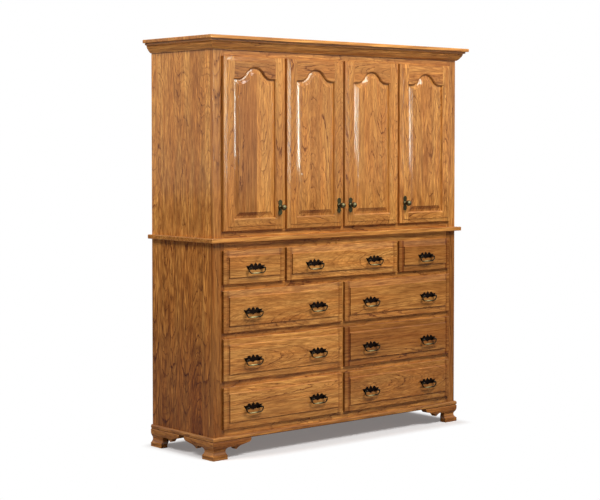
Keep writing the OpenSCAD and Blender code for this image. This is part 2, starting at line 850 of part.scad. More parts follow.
crown();
upper_case();
upper_frame();
waist_top();
lower_case();
lower_frame();
back_panels();
base();
hinge_plates();
door(0);  // door_1
door(1);  // door_2
door(2);  // door_3
door(3);  // door_4
door_metal(0);  // door_1_metal
door_metal(1);  // door_2_metal
door_metal(2);  // door_3_metal
door_metal(3);  // door_4_metal
drawer_front(0);  // front_11
drawer_front(1);  // front_12
drawer_front(2);  // front_13
drawer_front(3);  // front_21
drawer_front(4);  // front_22
drawer_front(5);  // front_31
drawer_front(6);  // front_32
drawer_front(7);  // front_41
drawer_front(8);  // front_42
drawer_box(0);  // box_11
drawer_box(1);  // box_12
drawer_box(2);  // box_13
drawer_box(3);  // box_21
drawer_box(4);  // box_22
drawer_box(5);  // box_31
drawer_box(6);  // box_32
drawer_box(7);  // box_41
drawer_box(8);  // box_42
pull_plates(0);  // plates_11
pull_plates(1);  // plates_12
pull_plates(2);  // plates_13
pull_plates(3);  // plates_21
pull_plates(4);  // plates_22
pull_plates(5);  // plates_31
pull_plates(6);  // plates_32
pull_plates(7);  // plates_41
pull_plates(8);  // plates_42
bail(0, 0);  // bail_11
bail(1, 0);  // bail_12a
bail(1, 1);  // bail_12b
bail(2, 0);  // bail_13
bail(3, 0);  // bail_21a
bail(3, 1);  // bail_21b
bail(4, 0);  // bail_22a
bail(4, 1);  // bail_22b
bail(5, 0);  // bail_31a
bail(5, 1);  // bail_31b
bail(6, 0);  // bail_32a
bail(6, 1);  // bail_32b
bail(7, 0);  // bail_41a
bail(7, 1);  // bail_41b
bail(8, 0);  // bail_42a
bail(8, 1);  // bail_42b
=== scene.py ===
import math
import random

import bmesh
import bpy
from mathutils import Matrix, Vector
from mathutils.bvhtree import BVHTree


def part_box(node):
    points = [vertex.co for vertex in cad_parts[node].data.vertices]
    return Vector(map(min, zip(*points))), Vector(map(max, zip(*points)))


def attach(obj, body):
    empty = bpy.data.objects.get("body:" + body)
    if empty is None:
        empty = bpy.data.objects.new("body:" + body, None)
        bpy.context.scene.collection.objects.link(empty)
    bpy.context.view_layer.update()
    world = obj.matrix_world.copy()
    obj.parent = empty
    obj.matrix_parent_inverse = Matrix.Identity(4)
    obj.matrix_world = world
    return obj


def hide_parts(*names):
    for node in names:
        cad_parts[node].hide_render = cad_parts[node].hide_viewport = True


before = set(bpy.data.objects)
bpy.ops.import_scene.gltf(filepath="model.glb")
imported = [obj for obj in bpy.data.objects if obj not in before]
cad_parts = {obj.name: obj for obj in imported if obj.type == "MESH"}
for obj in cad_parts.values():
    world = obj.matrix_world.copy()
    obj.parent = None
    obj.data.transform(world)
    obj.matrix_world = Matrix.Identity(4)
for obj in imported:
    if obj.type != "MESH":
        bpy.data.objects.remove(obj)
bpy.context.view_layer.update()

# Camera, floor and light
# The chest stands on a white studio floor and is seen from its front left corner, at a person's
# eye level. A soft box over its front and one on its left light it, and narrow strips stand
# before it for the lacquer to mirror.
PHOTO_WIDE = 600.0
PHOTO_TALL = 500.0
FOCAL_PIXELS = 1549.62
LEVEL_ROW = 206.12  # the photograph's row that the lens points at
SENSOR = 36.0
TILT_DOWN = 2.312
TURN_RIGHT = 40.784
camera_data = bpy.data.cameras.new("camera")
camera_data.sensor_width = SENSOR
camera_data.lens = FOCAL_PIXELS * SENSOR / PHOTO_WIDE
camera_data.shift_y = (LEVEL_ROW - PHOTO_TALL / 2) / PHOTO_WIDE
camera_data.clip_end = 200.0
camera = bpy.data.objects.new("camera", camera_data)
camera.location = (-5.05804, -5.7587, 1.4423)
camera.rotation_euler = (math.radians(90.0 - TILT_DOWN), 0.0, math.radians(-TURN_RIGHT))
bpy.context.scene.collection.objects.link(camera)
bpy.context.scene.camera = camera
bpy.context.scene.view_settings.view_transform = "Standard"


def put(tree, kind, inputs=None, **settings):
    """A node, with values or other nodes' outputs on its inputs."""
    made = tree.nodes.new(kind)
    for key, value in settings.items():
        setattr(made, key, value)
    for key, value in (inputs or {}).items():
        socket = made.inputs[key]
        if isinstance(value, bpy.types.NodeSocket):
            tree.links.new(value, socket)
        else:
            socket.default_value = value
    return made


def reckon(tree, sort, *values):
    """One step of arithmetic on numbers or sockets."""
    return put(tree, "ShaderNodeMath", dict(enumerate(values)), operation=sort).outputs[0]


def turn_vector(tree, sort, *values):
    """One step of arithmetic on vectors or colours."""
    made = put(tree, "ShaderNodeVectorMath", dict(enumerate(values)), operation=sort)
    return made.outputs["Value" if sort == "LENGTH" else "Vector"]


def carry(tree, value, old, new, curve="LINEAR"):
    """A number carried from one range to another, and held within it."""
    ends = {0: value, 1: old[0], 2: old[1], 3: new[0], 4: new[1]}
    return put(tree, "ShaderNodeMapRange", ends, interpolation_type=curve).outputs[0]


def empty_material(name):
    """A material with nothing in it yet, and its tree."""
    finish = bpy.data.materials.new(name)
    finish.use_nodes = True
    finish.node_tree.nodes.clear()
    return finish, finish.node_tree


def studio_floor():
    """White floor that keeps the soft shadow of the chest and is plain white further out."""
    shadow_half = (0.77, 0.25, 0.0)
    fade_out = 0.09
    finish, tree = empty_material("studio_floor")
    where = put(tree, "ShaderNodeTexCoord").outputs["Object"]
    beyond = turn_vector(tree, "SUBTRACT", turn_vector(tree, "ABSOLUTE", where), shadow_half)
    away = turn_vector(tree, "LENGTH", turn_vector(tree, "MAXIMUM", beyond, (0.0, 0.0, 0.0)))
    open_floor = carry(tree, away, (0.0, fade_out), (0.0, 1.0), curve="SMOOTHSTEP")
    seen = put(tree, "ShaderNodeLightPath").outputs["Is Camera Ray"]
    matt = put(tree, "ShaderNodeBsdfDiffuse", {"Color": (0.66, 0.65, 0.645, 1)}).outputs[0]
    lift = put(tree, "ShaderNodeEmission", {"Color": (1.0, 0.93, 0.91, 1), "Strength": 0.19}).outputs[0]
    shaded = put(tree, "ShaderNodeAddShader", {0: matt, 1: lift}).outputs[0]
    white = put(tree, "ShaderNodeEmission", {"Strength": 1.0}).outputs[0]
    looked_at = put(tree, "ShaderNodeMixShader", {0: open_floor, 1: shaded, 2: white}).outputs[0]
    dull = put(tree, "ShaderNodeBsdfDiffuse", {"Color": (0.32, 0.30, 0.29, 1)}).outputs[0]
    both = put(tree, "ShaderNodeMixShader", {0: seen, 1: dull, 2: looked_at}).outputs[0]
    put(tree, "ShaderNodeOutputMaterial", {"Surface": both})
    return finish


FLOOR_HALF = 30
floor_mesh = bpy.data.meshes.new("floor")
floor_mesh.from_pydata([(x * FLOOR_HALF, y * FLOOR_HALF, 0) for x, y in ((-1, -1), (1, -1), (1, 1), (-1, 1))],
                       [], [(0, 1, 2, 3)])
floor = bpy.data.objects.new("floor", floor_mesh)
bpy.context.scene.collection.objects.link(floor)
floor_mesh.materials.append(studio_floor())


def soft_box(name, place, aim, width, height, watts, lights=True):
    """A rectangular lamp that looks at a point, or only a strip for the lacquer to mirror."""
    lamp = bpy.data.lights.new(name, "AREA")
    lamp.shape = "RECTANGLE"
    lamp.size = width
    lamp.size_y = height
    lamp.energy = watts
    lamp.color = (1, 1, 1) if lights else (0.80, 1.0, 0.96)
    held = bpy.data.objects.new(name, lamp)
    held.location = place
    held.rotation_euler = (Vector(aim) - Vector(place)).to_track_quat("-Z", "Y").to_euler()
    held.visible_diffuse = lights
    held.visible_camera = False
    bpy.context.scene.collection.objects.link(held)


soft_box("over_box", (0.2, -3.3, 4.7), (0.0, -0.1, 1.3), 2.6, 1.8, 290.0)
soft_box("left_box", (-3.6, 0.8, 4.3), (-0.8, 0.1, 1.5), 1.8, 1.8, 175.0)
soft_box("arch_box", (2.1, -5.4, 3.6), (0.0, -0.25, 1.7), 2.2, 1.0, 190.0, lights=False)
# One strip for each door: to the right of the middle, before the chest, width, watts.
STRIPS = (
    (0.15, -3.55, 0.12, 44.0),
    (0.655, -3.55, 0.11, 21.0),
    (1.18, -3.55, 0.11, 21.0),
    (1.99, -4.45, 0.14, 27.0),
)
STRIP_LEVEL = 1.65
STRIP_LENGTH = 0.9
STRIP_SLANT = 0.33
DOOR_FACES = -0.25
for number, (x, y, wide, watts) in enumerate(STRIPS, 1):
    aim = (x + y * STRIP_SLANT, DOOR_FACES, STRIP_LEVEL)
    soft_box(f"front_strip_{number}", (x, y, STRIP_LEVEL), aim, wide, STRIP_LENGTH, watts, lights=False)

FILL = 0.20
world = bpy.data.worlds.new("world")
bpy.context.scene.world = world
world.use_nodes = True
world.node_tree.nodes.clear()
path = put(world.node_tree, "ShaderNodeLightPath").outputs
shows = reckon(world.node_tree, "MAXIMUM", path["Is Camera Ray"], path["Is Glossy Ray"])
shows = reckon(world.node_tree, "MAXIMUM", shows, path["Is Transmission Ray"])
strength = carry(world.node_tree, shows, (0.0, 1.0), (FILL, 1.0))
sky = put(world.node_tree, "ShaderNodeBackground", {"Color": (1, 1, 1, 1), "Strength": strength}).outputs[0]
put(world.node_tree, "ShaderNodeOutputWorld", {"Surface": sky})

# Base: moulding and ogee bracket feet
# Solid oak. The moulding is mitred round the case, and each foot is two brackets sawn to a
# scalloped outline, shaped to an ogee, mitred at the corner and backed by a glued block.
CREASE = 0.72  # radians: a sharper bend than this is shaded as an edge


def loose_boards(bm):
    """The faces of each separate board in a mesh."""
    seen = set()
    boards = []
    for start in bm.faces:
        if start.index in seen:
            continue
        seen.add(start.index)
        board = []
        todo = [start]
        while todo:
            face = todo.pop()
            board.append(face)
            for edge in face.edges:
                for other in edge.link_faces:
                    if other.index not in seen:
                        seen.add(other.index)
                        todo.append(other)
        boards.append(board)
    return boards


def ease_edges(bm, ease):
    """Rounds the sharp outer edges of each board, but not where it meets the next one."""
    sharp_from = 0.6
    touch = 0.0005
    tested = (0.1, 0.3, 0.5, 0.7, 0.9)
    bm.faces.index_update()
    bm.faces.ensure_lookup_table()
    boards = loose_boards(bm)
    owner = {face.index: n for n, board in enumerate(boards) for face in board}
    near = BVHTree.FromBMesh(bm)
    chosen = []
    for n, board in enumerate(boards):
        sharp = []
        for edge in {e for face in board for e in face.edges}:
            if len(edge.link_faces) != 2 or not edge.is_convex or edge.calc_face_angle(0) < sharp_from:
                continue
            a, b = edge.verts[0].co, edge.verts[1].co
            hits = [near.find_nearest_range(a.lerp(b, share), touch) for share in tested]
            touching = sum(any(owner[hit[2]] != n for hit in found) for found in hits)
            if touching <= len(tested) // 2:
                sharp.append(edge)
        chosen.append(sharp)
    for sharp in chosen:
        if sharp:
            bmesh.ops.bevel(bm, geom=sharp, offset=ease, offset_type="OFFSET", segments=2,
                            profile=0.5, affect="EDGES", clamp_overlap=True)


def sides(board):
    """Lowest and highest corner of a board."""
    points = [v.co for face in board for v in face.verts]
    return [Vector([pick(p[k] for p in points) for k in range(3)]) for pick in (min, max)]


def numbered(boards, board):
    """A board's number, given the corners of all the boards."""
    low, high = sides(board)
    gaps = [(a - low).length + (b - high).length for a, b in boards]
    return gaps.index(min(gaps))


def saw(bm, board, axis, at):
    """Cuts a board square across an axis, and gives all its faces again."""
    point = Vector((0, 0, 0))
    normal = Vector((0, 0, 0))
    point[axis] = at
    normal[axis] = 1
    parts = {g for face in board for g in (face, *face.edges, *face.verts) if g.is_valid}
    made = bmesh.ops.bisect_plane(bm, geom=list(parts), dist=1e-6, plane_co=point, plane_no=normal)
    return list({g for g in (*board, *made["geom"]) if g.is_valid and isinstance(g, bmesh.types.BMFace)})


def glue_lines(low, size, across, glued, chance):
    """The places across a panel where its boards are glued edge to edge."""
    narrow = 0.15
    if isinstance(glued, tuple):
        return [low[across] + share * size[across] for share in glued] if size[across] > narrow else []
    lines = []
    if glued and size[across] > 1.7 * glued:
        at = low[across] + glued * chance.uniform(0.35, 0.95)
        while at < low[across] + size[across] - 0.3 * glued:
            lines.append(at)
            at += glued * chance.uniform(0.8, 1.25)
    return lines


def from_log(name, long, left, right, flat_sawn):
    """Where a board lay in its log, and how it took the stain, by the luck of its name."""
    chance = random.Random(name)
    steep = chance.uniform(0.05, 0.15) if flat_sawn else chance.uniform(0.015, 0.055)
    pith = chance.uniform(0.02, 0.05) + steep * long / 2 if flat_sawn else chance.uniform(0.05, 0.15)
    return {
        "start": chance.uniform(0, 20),
        "heart": chance.uniform(-0.4, 0.4) * (right - left),
        "pith": pith,
        "slope": chance.choice((-1, 1)) * steep,
        "tone_and_shade": chance.uniform(-0.15, 0.17),
        "middle": (left + right) / 2,
        "soak": 1.2,
        "underside_shade": 0.0,
        "gentle": 0.9,
        "gentle_share": 1.0,
    }


def painted_underside_shade(facts, upward):
    """Painted shade: how much darker a face is made where it looks down, where the light from above leaves it
    in shade.
    """
    if not -0.9 < upward < -0.1:
        return 0.0
    return facts["underside_shade"] * (facts["gentle_share"] if upward > -facts["gentle"] else 1.0)


def shade_smooth(bm):
    """Smooth shading, but for the creases."""
    for edge in bm.edges:
        edge.smooth = len(edge.link_faces) == 2 and edge.calc_face_angle(4) < CREASE
    for face in bm.faces:
        face.smooth = True


def stand_in(name, mesh, node, body):
    """Puts a made piece in the place of its node, with the flat faces' shading kept flat."""
    made = bpy.data.objects.new(name, mesh)
    bpy.context.scene.collection.objects.link(made)
    level = made.modifiers.new("flat_faces", "WEIGHTED_NORMAL")
    level.keep_sharp = True
    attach(made, body)
    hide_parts(node)


def planks(node, body, finish, ease=0.0011, glued=0.0, lie=None, stain=0.0, sure=None,
           flat_sawn=False, bands=(), painted_top_light=0.0, first=()):
    """The boards of a node, with eased edges, each with the lie of the grain in it: along, across
    and through the board, from the heart of the tree.

    glued is the width of the boards that a panel is made from, or the places of its joints as
    shares of its width. lie is the axis of the grain, where that isn't the board's longest.
    stain darkens the wood, by a number or by a face's place; by place it also paints light and shade.
    sure gives what isn't left to chance for a board. bands are darker strips across both ends of a
    board: from, to, how much. painted_top_light makes the wood lighter by so much for each metre up,
    painted light from above. first lists the boards that take the first chances, where that isn't
    their order in the frame. The boards are numbered before their edges are eased, because the new
    faces come in another order each time."""
    bm = bmesh.new()
    bm.from_mesh(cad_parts[node].data)
    bmesh.ops.remove_doubles(bm, verts=bm.verts, dist=2e-5)
    bmesh.ops.dissolve_limit(bm, angle_limit=0.01, verts=bm.verts, edges=bm.edges)
    bm.faces.index_update()
    boards = [sides(board) for board in loose_boards(bm)]
    ease_edges(bm, ease)
    bm.faces.index_update()
    plan = {}
    for board in loose_boards(bm):
        n = numbered(boards, board)
        chance = f"{node} {first.index(n) if n in first else n}"
        low, high = sides(board)
        size = high - low
        axes = sorted(range(3), key=lambda k: -size[k])
        if lie is not None:
            axes = [lie] + [k for k in axes if k != lie]
        joints = glue_lines(low, size, axes[1], glued, random.Random(chance))
        for at in joints:
            board = saw(bm, board, axes[1], at)
        for _, stop, _ in bands:
            for at in (low[axes[0]] + stop, high[axes[0]] - stop):
                board = saw(bm, board, axes[0], at)
        plan[n] = (low, high, axes, joints, chance)
    bm.faces.index_update()
    grain = bm.loops.layers.float_vector.new("grain")
    tone_and_shade = bm.loops.layers.float.new("tone_and_shade")
    end = bm.loops.layers.float.new("end")
    bm.normal_update()
    known = {}
    for board in loose_boards(bm):
        n = numbered(boards, board)
        low, high, (along, across, through), joints, chance = plan[n]
        size = high - low
        seams = [low[across], *joints, high[across]]
        for face in board:
            centre = face.calc_center_median()
            strip = sum(centre[across] > at for at in joints)
            if (n, strip) not in known:
                facts = from_log(f"{chance} {strip}", size[along], seams[strip], seams[strip + 1], flat_sawn)
                if sure:
                    facts.update(sure(low, high, strip) or {})
                known[n, strip] = facts
            facts = known[n, strip]
            # The wood's tone and stain, and painted light and shade: by place, on faces that look down, in
            # the bands, and higher up.
            dark = facts["tone_and_shade"] + (stain(centre) if callable(stain) else stain)
            # Painted shade on faces that look down.
            dark += painted_underside_shade(facts, face.normal.z)
            from_end = min(centre[along] - low[along], high[along] - centre[along])
            dark += sum(much for start, stop, much in bands if start < from_end < stop)
            soaked = abs(face.normal[along]) * facts["soak"]
            for loop in face.loops:
                p = loop.vert.co
                run = p[along] - (low[along] + high[along]) / 2
                deep = p[through] - low[through]
                loop[grain] = (facts["start"] + run, p[across] - facts["middle"] - facts["heart"],
                               facts["pith"] + deep + facts["slope"] * run)
                # Painted light: the wood is made lighter higher up, where the light from above falls on it
                # more.
                loop[tone_and_shade] = dark - painted_top_light * p.z
                loop[end] = soaked
    shade_smooth(bm)
    mesh = bpy.data.meshes.new(node + "_wood")
    bm.to_mesh(mesh)
    bm.free()
    mesh.materials.append(finish)
    stand_in(node + "_wood", mesh, node, body)


def figure(tree, lie, along, across, detail, roughness=0.5):
    """Noise drawn out along the grain: how often it changes in a metre along and across it."""
    spot = turn_vector(tree, "MULTIPLY", lie, (along, across, across))
    return put(tree, "ShaderNodeTexNoise", {"Vector": spot, "Scale": 1.0, "Detail": detail,
                                            "Roughness": roughness}).outputs[0]


def early_wood(tree, lie, rings):
    """The dark early wood of each year's ring, where a board cuts the rings. rings is the width
    of one ring in metres."""
    def wander(depth, *noise):
        return reckon(tree, "MULTIPLY_ADD", figure(tree, lie, *noise), depth, -depth / 2)

    cut = put(tree, "ShaderNodeSeparateXYZ", {0: lie}).outputs
    across = reckon(tree, "ADD", cut[1], wander(0.0100, 7.0, 30.0, 1.0))
    sway = wander(0.044, 1.6, 5.0, 0.0)
    quiver = wander(0.0024, 45.0, 120.0, 1.0)
    ragged = wander(0.0070, 20.0, 55.0, 2.0, 0.6)
    through = reckon(tree, "ADD", reckon(tree, "ADD", cut[2], sway), reckon(tree, "ADD", quiver, ragged))
    from_heart = put(tree, "ShaderNodeCombineXYZ", {0: across, 1: through}).outputs[0]
    count = reckon(tree, "DIVIDE", turn_vector(tree, "LENGTH", from_heart), rings)
    uneven = put(tree, "ShaderNodeTexNoise", {"W": count, "Scale": 0.37, "Detail": 0.0},
                 noise_dimensions="1D").outputs[0]
    count = reckon(tree, "MULTIPLY_ADD", uneven, 1.6, count)
    year = reckon(tree, "FLOOR", count)
    season = reckon(tree, "FRACT", count)
    luck = put(tree, "ShaderNodeTexWhiteNoise", {"W": year}, noise_dimensions="1D").outputs[0]
    vigour = reckon(tree, "MULTIPLY_ADD", reckon(tree, "POWER", luck, 1.6), 1.05, 0.22)
    ramp = put(tree, "ShaderNodeValToRGB", {0: season})
    # Share of the year, and how dark its wood is: early wood first, then pale late wood.
    seasons = ((0.0, 1.0), (0.09, 0.90), (0.26, 0.30), (0.50, 0.05), (0.94, 0.0), (1.0, 0.9))
    while len(ramp.color_ramp.elements) < len(seasons):
        ramp.color_ramp.elements.new(0.5)
    for stop, (at, value) in zip(ramp.color_ramp.elements, seasons):
        stop.position = at
        stop.color = (value, value, value, 1)
    patch = carry(tree, figure(tree, lie, 2.2, 14.0, 1.0), (0.32, 0.62), (0.45, 1.0))
    broken = carry(tree, figure(tree, lie, 26.0, 230.0, 1.0, 0.6), (0.36, 0.60), (0.35, 1.15))
    early = reckon(tree, "MULTIPLY", reckon(tree, "MULTIPLY", ramp.outputs[0], vigour), patch)
    return reckon(tree, "MULTIPLY", early, broken)


def mix(tree, share, first, second, **settings):
    """Two colours mixed."""
    ends = {"Factor": share, "A": first, "B": second}
    return put(tree, "ShaderNodeMix", ends, data_type="RGBA", **settings).outputs["Result"]


def stained(name, pale, brown, pore, rings=0.0048, contrast=1.0, streaks=1.0, rough=0.42, lacquer=0.45):
    """Oak cut from the log: growth rings round the heart, pores along the grain, and a finish.
    pale is the late wood, brown the early wood, and pore the open pores, all as stained."""
    finish, tree = empty_material(name)
    lie = put(tree, "ShaderNodeAttribute", attribute_name="grain").outputs["Vector"]
    early = early_wood(tree, lie, rings)

    pores = carry(tree, figure(tree, lie, 30.0, 1150.0, 1.0), (0.56, 0.66), (0.0, 1.0))
    pores = reckon(tree, "MULTIPLY", pores, reckon(tree, "MULTIPLY_ADD", early, 0.8, 0.2))

    fibre = carry(tree, figure(tree, lie, 4.0, 240.0, 3.0, 0.65), (0.25, 0.75), (0.68, 1.32))
    broad = carry(tree, figure(tree, lie, 0.9, 5.0, 2.0), (0.3, 0.7), (0.86, 1.12))
    banded = carry(tree, figure(tree, lie, 2.2, 75.0, 2.0, 0.6), (0.32, 0.68),
                   (1 - 0.28 * streaks, 1 + 0.26 * streaks))
    flecked = carry(tree, figure(tree, lie, 9.0, 120.0, 1.0, 0.6), (0.30, 0.70),
                    (1 - 0.22 * streaks, 1 + 0.22 * streaks))
    shade = fibre
    for layer in (broad, banded, flecked):
        shade = reckon(tree, "MULTIPLY", shade, layer)
    # Darker streaks are redder, and the wood's yellow comes and goes across a board.
    yellow = carry(tree, figure(tree, lie, 1.3, 28.0, 1.0), (0.32, 0.68), (0.93, 1.07))
    greens = reckon(tree, "MULTIPLY", reckon(tree, "POWER", shade, 1.25), yellow)
    blues = reckon(tree, "MULTIPLY", reckon(tree, "POWER", shade, 1.45),
                   reckon(tree, "MULTIPLY", yellow, yellow))
    warm = put(tree, "ShaderNodeCombineXYZ", {0: shade, 1: greens, 2: blues}).outputs[0]

    colour = mix(tree, reckon(tree, "MULTIPLY", early, contrast), (*pale, 1), (*brown, 1))
    colour = turn_vector(tree, "MULTIPLY", colour, warm)
    colour = mix(tree, reckon(tree, "MULTIPLY", pores, 0.5), colour, (*pore, 1))
    # Wood tone and stain, with painted light and shade, darken the colour.
    tone_and_shade = put(tree, "ShaderNodeAttribute", attribute_name="tone_and_shade").outputs["Fac"]
    deeper = turn_vector(tree, "MULTIPLY", colour, (0.42, 0.29, 0.19))
    colour = mix(tree, tone_and_shade, colour, deeper, clamp_factor=False)
    end = put(tree, "ShaderNodeAttribute", attribute_name="end").outputs["Fac"]
    thirsty = carry(tree, end, (0.45, 2.0), (0.0, 0.85))
    soaked = turn_vector(tree, "MULTIPLY", colour, (0.30, 0.22, 0.16))
    colour = mix(tree, thirsty, colour, soaked)

    height = reckon(tree, "MULTIPLY_ADD", pores, -0.8, reckon(tree, "MULTIPLY", early, -0.25))
    bump = put(tree, "ShaderNodeBump", {"Strength": 0.5, "Distance": 0.00025, "Height": height}).outputs[0]
    gloss = reckon(tree, "MULTIPLY_ADD", early, 0.12, rough)
    skin = put(tree, "ShaderNodeBsdfPrincipled", {
        "Base Color": colour, "Roughness": gloss, "Normal": bump, "Specular IOR Level": 0.05,
        "Coat Weight": lacquer, "Coat Roughness": 0.09, "Coat IOR": 1.5})
    put(tree, "ShaderNodeOutputMaterial", {"Surface": skin.outputs[0]})
    return finish


PALE = (0.500, 0.202, 0.043)
BROWN = (0.150, 0.036, 0.0065)
PORE = (0.050, 0.013, 0.003)
oak = stained("stained_oak", PALE, BROWN, PORE)
planks("base", "case", oak, stain=0.46, first=(1, 0, 3, 4, 2))

# Drawer case
# Oak end panels glued up from boards 70 to 110 mm wide, webs between the rows of drawers,
# partitions, and the guides and strips that keep the drawers straight. Its face frame has wide
# stiles at the ends, rails between the rows and narrow strips between the drawers.
END_FROM = 0.75  # the end panels lie further from the middle than this
STILE_FROM = 0.74
TOP_RAIL_FROM = 0.95


def lower_stain_and_shade(p):
    """The end panels are darker than the boards inside: stain, and painted shade low down, away from the
    light above.
    """
    return 1.07 if abs(p.x) > END_FROM else 0.49


def lower_frame_stain_and_light(p):
    """Dark end stiles, stain and painted shade low down, and a rail under the waist board painted pale,
    painted light against the shadow that the waist board casts on it.
    """
    if abs(p.x) > STILE_FROM:
        return 0.50
    return 0.16 if p.z < TOP_RAIL_FROM else -0.25


streaky_oak = stained("streaky_oak", PALE, BROWN, PORE, rings=0.0058, contrast=1.35, streaks=1.4)
planks("lower_case", "case", streaky_oak, glued=0.085, stain=lower_stain_and_shade, flat_sawn=True, painted_top_light=0.75,
       first=(1, 5, 2, 3, 4, 6, 7, 8, 9, 10, 11, 12, 13, 0))
planks("lower_frame", "case", oak, stain=lower_frame_stain_and_light, first=(1, 4, 2, 0, 3))

# Backs
# Thin plywood in rabbets of the end panels, one sheet behind each case. The grain of its face
# runs upright, and it has only a clear coat.
UPRIGHT = 2
pale_wood = stained("pale_wood", (0.66, 0.45, 0.24), (0.42, 0.25, 0.11), (0.25, 0.14, 0.06), rings=0.011,
                    contrast=0.55, streaks=0.4, rough=0.5, lacquer=0.05)
planks("back_panels", "case", pale_wood, ease=0.0005, lie=UPRIGHT, first=(1, 0))

# Waist board
# The top of the drawer chest, which the cupboard stands on. It is oak boards glued edge to
# edge, that run from side to side and stand out over the case.
SIDE_TO_SIDE = 0
planks("waist_top", "case", oak, glued=0.075, lie=SIDE_TO_SIDE, stain=-0.16)

# Cupboard
# Glued-up oak end panels, bottom and top boards, two partitions, and a shelf on cleats in each
# bay. The crown is a wide flat board over a moulding that is mitred at the front corners.
FRONT_BOARD_TO = -0.1
CROWN_RETURN_FROM = 0.79
# The front boards of the end panels are painted lighter, painted light where the lamp on the left reaches
# them less.
planks("upper_case", "case", oak, glued=0.085, flat_sawn=True, first=(1, 2, 3, 4, 5, 6, 7, 0),
       stain=lambda p: 0.04 if p.y > FRONT_BOARD_TO else -0.18)
planks("upper_frame", "case", oak, first=(1, 0),
       stain=lambda p: 0.32 if abs(p.x) > STILE_FROM else 0.0)
# The crown is painted lighter, its returns more than its front: painted light where the lamps leave it
# darker.
planks("crown", "case", oak, glued=0.095, first=(2, 0, 1),
       stain=lambda p: -0.42 if abs(p.x) > CROWN_RETURN_FROM else -0.20)

# Doors
# Cope-and-stick frames of oak with an arched top rail. Each holds a raised panel, glued up from
# two or three boards, that is loose in its groove. Its bevels that look down are painted darker, painted
# shade.
TOP_RAILS_FROM = 1.6
# For each door: the joints of its panel as shares of its width, how dark the panel's boards are,
# and which of the door's boards take the first chances.
PANELS = {
    1: ((0.54,), (0.30, -0.18), (2, 0, 3, 1)),
    2: ((0.36, 0.60), (0.02, 0.16, 0.0), (0, 2, 1)),
    3: ((0.62,), (-0.13, 0.10), (0, 1, 2, 4, 3)),
    4: ((0.34, 0.72), (0.0, 0.10, -0.02), (1, 0)),
}
calm_oak = stained("calm_oak", PALE, BROWN, PORE, rings=0.0044, contrast=1.1, streaks=0.6)


def door_boards(tones):
    """What is known of the boards of a door, given the tones of its panel."""
    def board(low, high, strip):
        wide = high.x - low.x
        tall = high.z - low.z
        if tall > 0.5 and wide > 0.15:
            # The panel's boards take their tone, and painted shade where they look down.
            return {"tone_and_shade": tones[strip], "underside_shade": 0.7, "gentle": 0.3, "gentle_share": 0.3}
        if tall > wide:
            return None
        # The top rails are darker: in part their own colour, in part painted shade under the crown.
        return {"tone_and_shade": 0.24 if low.z > TOP_RAILS_FROM else 0.06}

    return board


for number, (joints, tones, first) in PANELS.items():
    planks(f"door_{number}", f"door_{number}", oak if number == 4 else calm_oak, ease=0.0024,
           glued=joints, sure=door_boards(tones), flat_sawn=True, first=first)

# Drawers
# Raised fronts of plain-sawn oak with a sloped rim, screwed from inside to boxes of pale wood.
# The stain is darker across the ends of a front, where the rim is end grain, and darker still by the step of
# the rim, painted shade. Faces of a front that look down are painted darker as well, painted shade.
FRONTS = {
    "11": 0.06, "12": 0.02, "13": 0.52,
    "21": 0.04, "22": 0.16,
    "31": -0.13, "32": 0.56,
    "41": -0.06, "42": 0.36,
}
# Bands across both ends of a front: end grain by the edge, and painted shade by the step of the rim.
END_GRAIN_AND_PAINTED_SHADE = ((0.0005, 0.019, 0.20), (0.019, 0.033, 0.52))
plain_oak = stained("plain_sawn_oak", (0.512, 0.210, 0.046), BROWN, PORE, rings=0.0046, streaks=0.8)
for name, dark in FRONTS.items():
    # Faces of a front that look down get painted shade.
    facts = {"tone_and_shade": dark, "underside_shade": 0.4, "soak": 1.6}
    planks(f"front_{name}", f"drawer_{name}", plain_oak, flat_sawn=True, bands=END_GRAIN_AND_PAINTED_SHADE,
           sure=lambda low, high, strip, facts=facts: facts)
    planks(f"box_{name}", f"drawer_{name}", pale_wood, ease=0.0008)

# Knobs, plates and hinges
# Cast brass with a dark antique finish, rubbed bright on its edges, and nickelled steel for the
# cups and plates of the hidden hinges. They are screwed to the doors, fronts and stiles.
BEHIND_DOOR_FACE = 0.004


def metal(name, colour, worn, rough):
    """Cast metal with a dark finish that is rubbed through in places, and on the bails also brightened where
    a highlight is painted.
    """
    finish, tree = empty_material(name)
    where = put(tree, "ShaderNodeTexCoord").outputs["Object"]
    spots = put(tree, "ShaderNodeTexNoise", {"Vector": where, "Scale": 160.0, "Detail": 3.0}).outputs[0]
    wear_and_sheen = put(tree, "ShaderNodeAttribute", attribute_name="wear_and_sheen").outputs["Fac"]
    worn_and_lit = reckon(tree, "MULTIPLY", wear_and_sheen, reckon(tree, "MULTIPLY_ADD", spots, 1.4, 0.2))
    gloss = reckon(tree, "MULTIPLY_ADD", spots, 0.2, rough)
    bump = put(tree, "ShaderNodeBump", {"Strength": 0.3, "Distance": 0.0002, "Height": spots}).outputs[0]
    skin = put(tree, "ShaderNodeBsdfPrincipled", {
        "Base Color": mix(tree, worn_and_lit, (*colour, 1), (*worn, 1)), "Metallic": 1.0, "Roughness": gloss,
        "Normal": bump})
    put(tree, "ShaderNodeOutputMaterial", {"Surface": skin.outputs[0]})
    return finish


